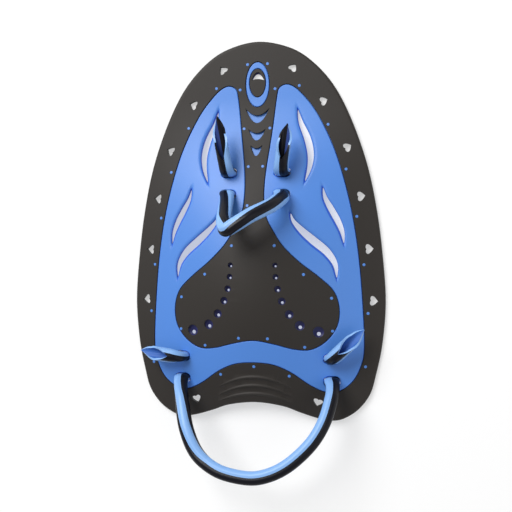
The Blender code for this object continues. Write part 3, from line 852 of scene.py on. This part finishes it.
def make_strap(name, finishes, hole_middle, tails, rows, reach, height, first_colour, colour_turns,
               blue_inside):
    """The whole tube with its colours. Their turn about the tube is a table over the share of the loop. The
    tube's inside and its cut rims are all blue, or blue and black like its outside. The inside's blue is
    darker than the outside's, as painted shade in the hollow."""
    tail_hole, loop_hole = strap_holes(*hole_middle)
    left_tail_hole, left_loop_hole = (Vector((-hole.x, hole.y)) for hole in (tail_hole, loop_hole))
    sections = tail_sections(left_tail_hole, tails[0])
    sections += bridge_sections(left_tail_hole, left_loop_hole)
    loop_start = len(sections) - 1
    sections += loop_sections(loop_hole, rows, reach, height)
    loop_end = len(sections)
    sections += turned_back(bridge_sections(tail_hole, loop_hole))
    sections += turned_back(tail_sections(tail_hole, tails[1]))
    frames = frames_along(sections, loop_start, loop_end)
    shares = [(index - loop_start) / (loop_end - loop_start) for index in range(len(sections))]
    phases = [math.pi / 2 * turns_at(colour_turns, share) for share in shares]
    strap = start_piece(name)
    side_of = {}
    outer = add_rings(strap, strap_rings(sections, frames, phases, 0.0))
    inner = add_rings(strap, strap_rings(sections, frames, phases, STRAP_WALL))
    for ring in outer + inner:
        for side, index in enumerate(ring):
            side_of[index] = side
    inside = {index for ring in inner for index in ring}
    work = bmesh.from_edit_mesh(strap.data)
    work.verts.ensure_lookup_table()
    for end in (0, -1):
        for side in range(STRAP_SIDES):
            numbers = (outer[end][side - 1], outer[end][side], inner[end][side], inner[end][side - 1])
            work.faces.new([work.verts[index] for index in numbers])
    bmesh.update_edit_mesh(strap.data)
    bpy.ops.mesh.select_all(action="SELECT")
    bpy.ops.mesh.normals_make_consistent(inside=False)
    bpy.ops.object.mode_set(mode="OBJECT")
    bpy.ops.object.shade_smooth_by_angle(angle=SMOOTH_ANGLE)
    strap.data.materials.clear()
    for finish in finishes:
        strap.data.materials.append(finish)
    for face in strap.data.polygons:
        sides = sorted(side_of[index] for index in face.vertices)
        side = sides[0] if sides[-1] - sides[0] < STRAP_SIDES // 2 else sides[-1]
        colour = (side * 4 // STRAP_SIDES + first_colour) % 2
        inside_corners = sum(index in inside for index in face.vertices)
        if inside_corners == len(face.vertices) and (blue_inside or not colour):
            colour = 2
        elif inside_corners and blue_inside:
            colour = 0
        face.material_index = colour
    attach(strap, "root")
    return strap


def strap_rubber(name, colour, roughness, specular=0.5):
    return moulded_plastic(name, colour, roughness, grain=500, grain_depth=0.00003, specular=specular)


outer_finishes = [
    strap_rubber("strap blue rubber", STRAP_BLUE, 0.38),
    strap_rubber("strap black rubber", STRAP_BLACK, 0.32, specular=0.22),
]
finger_finishes = outer_finishes + [strap_rubber("strap inside painted shade", FINGER_INSIDE_SHADE, 0.45)]
finger_strap = make_strap("finger_loop", finger_finishes, FINGER_HOLE_MIDDLE, FINGER_TAILS, FINGER_LOOP,
                          FINGER_LOOP_LEAN, FINGER_LOOP_HEIGHT, first_colour=0,
                          colour_turns=FINGER_COLOUR_TURNS, blue_inside=False)
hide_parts("finger_strap")


# The wrist strap is a longer length of the same tube, blue on its inside and its cut rims. It leans out
# past the plate's end, and its colours turn by a quarter on the way from the left hole to the right one.
WRIST_LOOP_REACH = 0.0503
WRIST_LOOP_HEIGHT = 0.0307
WRIST_LOOP = (
    (-0.985, 0.08, 0.31),
    (-0.93, 0.23, 0.51),
    (-0.83, 0.52, 0.74),
    (-0.66, 0.78, 0.88),
    (-0.385, 0.94, 0.97),
    (-0.03, 1.00, 1.00),
    (0.23, 0.97, 1.00),
    (0.50, 0.85, 0.97),
    (0.77, 0.63, 0.88),
    (0.93, 0.405, 0.74),
    (1.01, 0.17, 0.51),
    (1.02, 0.05, 0.31),
)
WRIST_TAILS = ((-0.0235, 0.0036, 0.0080), (0.0185, 0.0176, 0.0090))
WRIST_COLOUR_TURNS = ((-0.23, -0.25), (-0.15, 0.0), (0.0, 0.0), (0.12, 0.1), (0.35, -0.3), (0.47, 0.0),
                      (0.70, 0.53), (1.0, 1.0), (1.02, 1.0), (1.13, 0.2))
# The wrist strap's inside is its own blue rubber, made deeper and darker than the outside's blue as painted
# shade.
WRIST_INSIDE_BLUE_AND_SHADE = (0.035, 0.140, 0.500)

wrist_finishes = outer_finishes + [strap_rubber("wrist inside blue and painted shade", WRIST_INSIDE_BLUE_AND_SHADE, 0.45)]
wrist_strap = make_strap("wrist_loop", wrist_finishes, WRIST_HOLE_MIDDLE, WRIST_TAILS, WRIST_LOOP,
                         WRIST_LOOP_REACH, WRIST_LOOP_HEIGHT, first_colour=1,
                         colour_turns=WRIST_COLOUR_TURNS, blue_inside=True)
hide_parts("wrist_strap")


# The stage: a plain pale floor with a glow of its own, a large soft light from the upper left, a weak one
# from the right, and a sky that is palest at the horizon. The camera stands where the photograph's stood
# over the paddle, and turns to put it in the middle.
FLOOR_WHITE = (0.52, 0.52, 0.52)
FLOOR_GLOW = 0.48
HORIZON_LIGHT = 0.95
OVERHEAD_LIGHT = 0.36
SKY_FADE_HEIGHT = 0.45
SENSOR_WIDTH = 36
CAMERA_PLACE = (0.0835, 0.000, 0.467)
CAMERA_AIM = (0.0, 0.0, 0.008)
FRAME_HEIGHT = 0.300

bpy.ops.object.select_all(action="DESELECT")
bpy.ops.mesh.primitive_plane_add(size=6, location=(0, 0, 0))
floor = bpy.context.object
floor.name = "floor"
floor_finish = bpy.data.materials.new("floor white")
floor_finish.use_nodes = True
floor_surface = floor_finish.node_tree.nodes["Principled BSDF"]
floor_surface.inputs["Base Color"].default_value = (*FLOOR_WHITE, 1)
floor_surface.inputs["Emission Color"].default_value = (1, 1, 1, 1)
floor_surface.inputs["Emission Strength"].default_value = FLOOR_GLOW
floor_surface.inputs["Roughness"].default_value = 0.9
floor_surface.inputs["Specular IOR Level"].default_value = 0.1
floor.data.materials.append(floor_finish)

world = bpy.data.worlds.new("studio")
world.use_nodes = True
sky_nodes, sky_links = world.node_tree.nodes, world.node_tree.links
directions = sky_nodes.new("ShaderNodeTexCoord")
heights = sky_nodes.new("ShaderNodeSeparateXYZ")
fall = sky_nodes.new("ShaderNodeMapRange")
fall.inputs["From Max"].default_value = SKY_FADE_HEIGHT
fall.inputs["To Min"].default_value = HORIZON_LIGHT
fall.inputs["To Max"].default_value = OVERHEAD_LIGHT
sky_links.new(directions.outputs["Generated"], heights.inputs["Vector"])
sky_links.new(heights.outputs["Z"], fall.inputs["Value"])
sky_links.new(fall.outputs["Result"], sky_nodes["Background"].inputs["Strength"])
sky_nodes["Background"].inputs["Color"].default_value = (1, 1, 1, 1)
bpy.context.scene.world = world
bpy.context.scene.view_settings.view_transform = "Standard"


def add_softbox(name, place, size, power):
    bpy.ops.object.light_add(type="AREA", location=place)
    light = bpy.context.object
    light.name = name
    light.data.size = size
    light.data.energy = power
    light.rotation_euler = (-Vector(place)).to_track_quat("-Z", "Y").to_euler()


add_softbox("upper left softbox", (-0.54, 0.74, 1.00), size=0.8, power=17.5)
add_softbox("right fill", (0.9, -0.2, 0.9), size=0.8, power=1.8)

camera_data = bpy.data.cameras.new("camera")
camera = bpy.data.objects.new("camera", camera_data)
bpy.context.scene.collection.objects.link(camera)
camera.location = CAMERA_PLACE
view_line = Vector(CAMERA_AIM) - Vector(CAMERA_PLACE)
backwards = -view_line.normalized()
picture_up = (Vector((0, 1, 0)) - backwards * backwards.y).normalized()
picture_right = picture_up.cross(backwards)
camera.rotation_euler = Matrix((picture_right, picture_up, backwards)).transposed().to_euler()
camera_data.sensor_width = SENSOR_WIDTH
camera_data.lens = SENSOR_WIDTH * view_line.length / FRAME_HEIGHT
bpy.context.scene.camera = camera
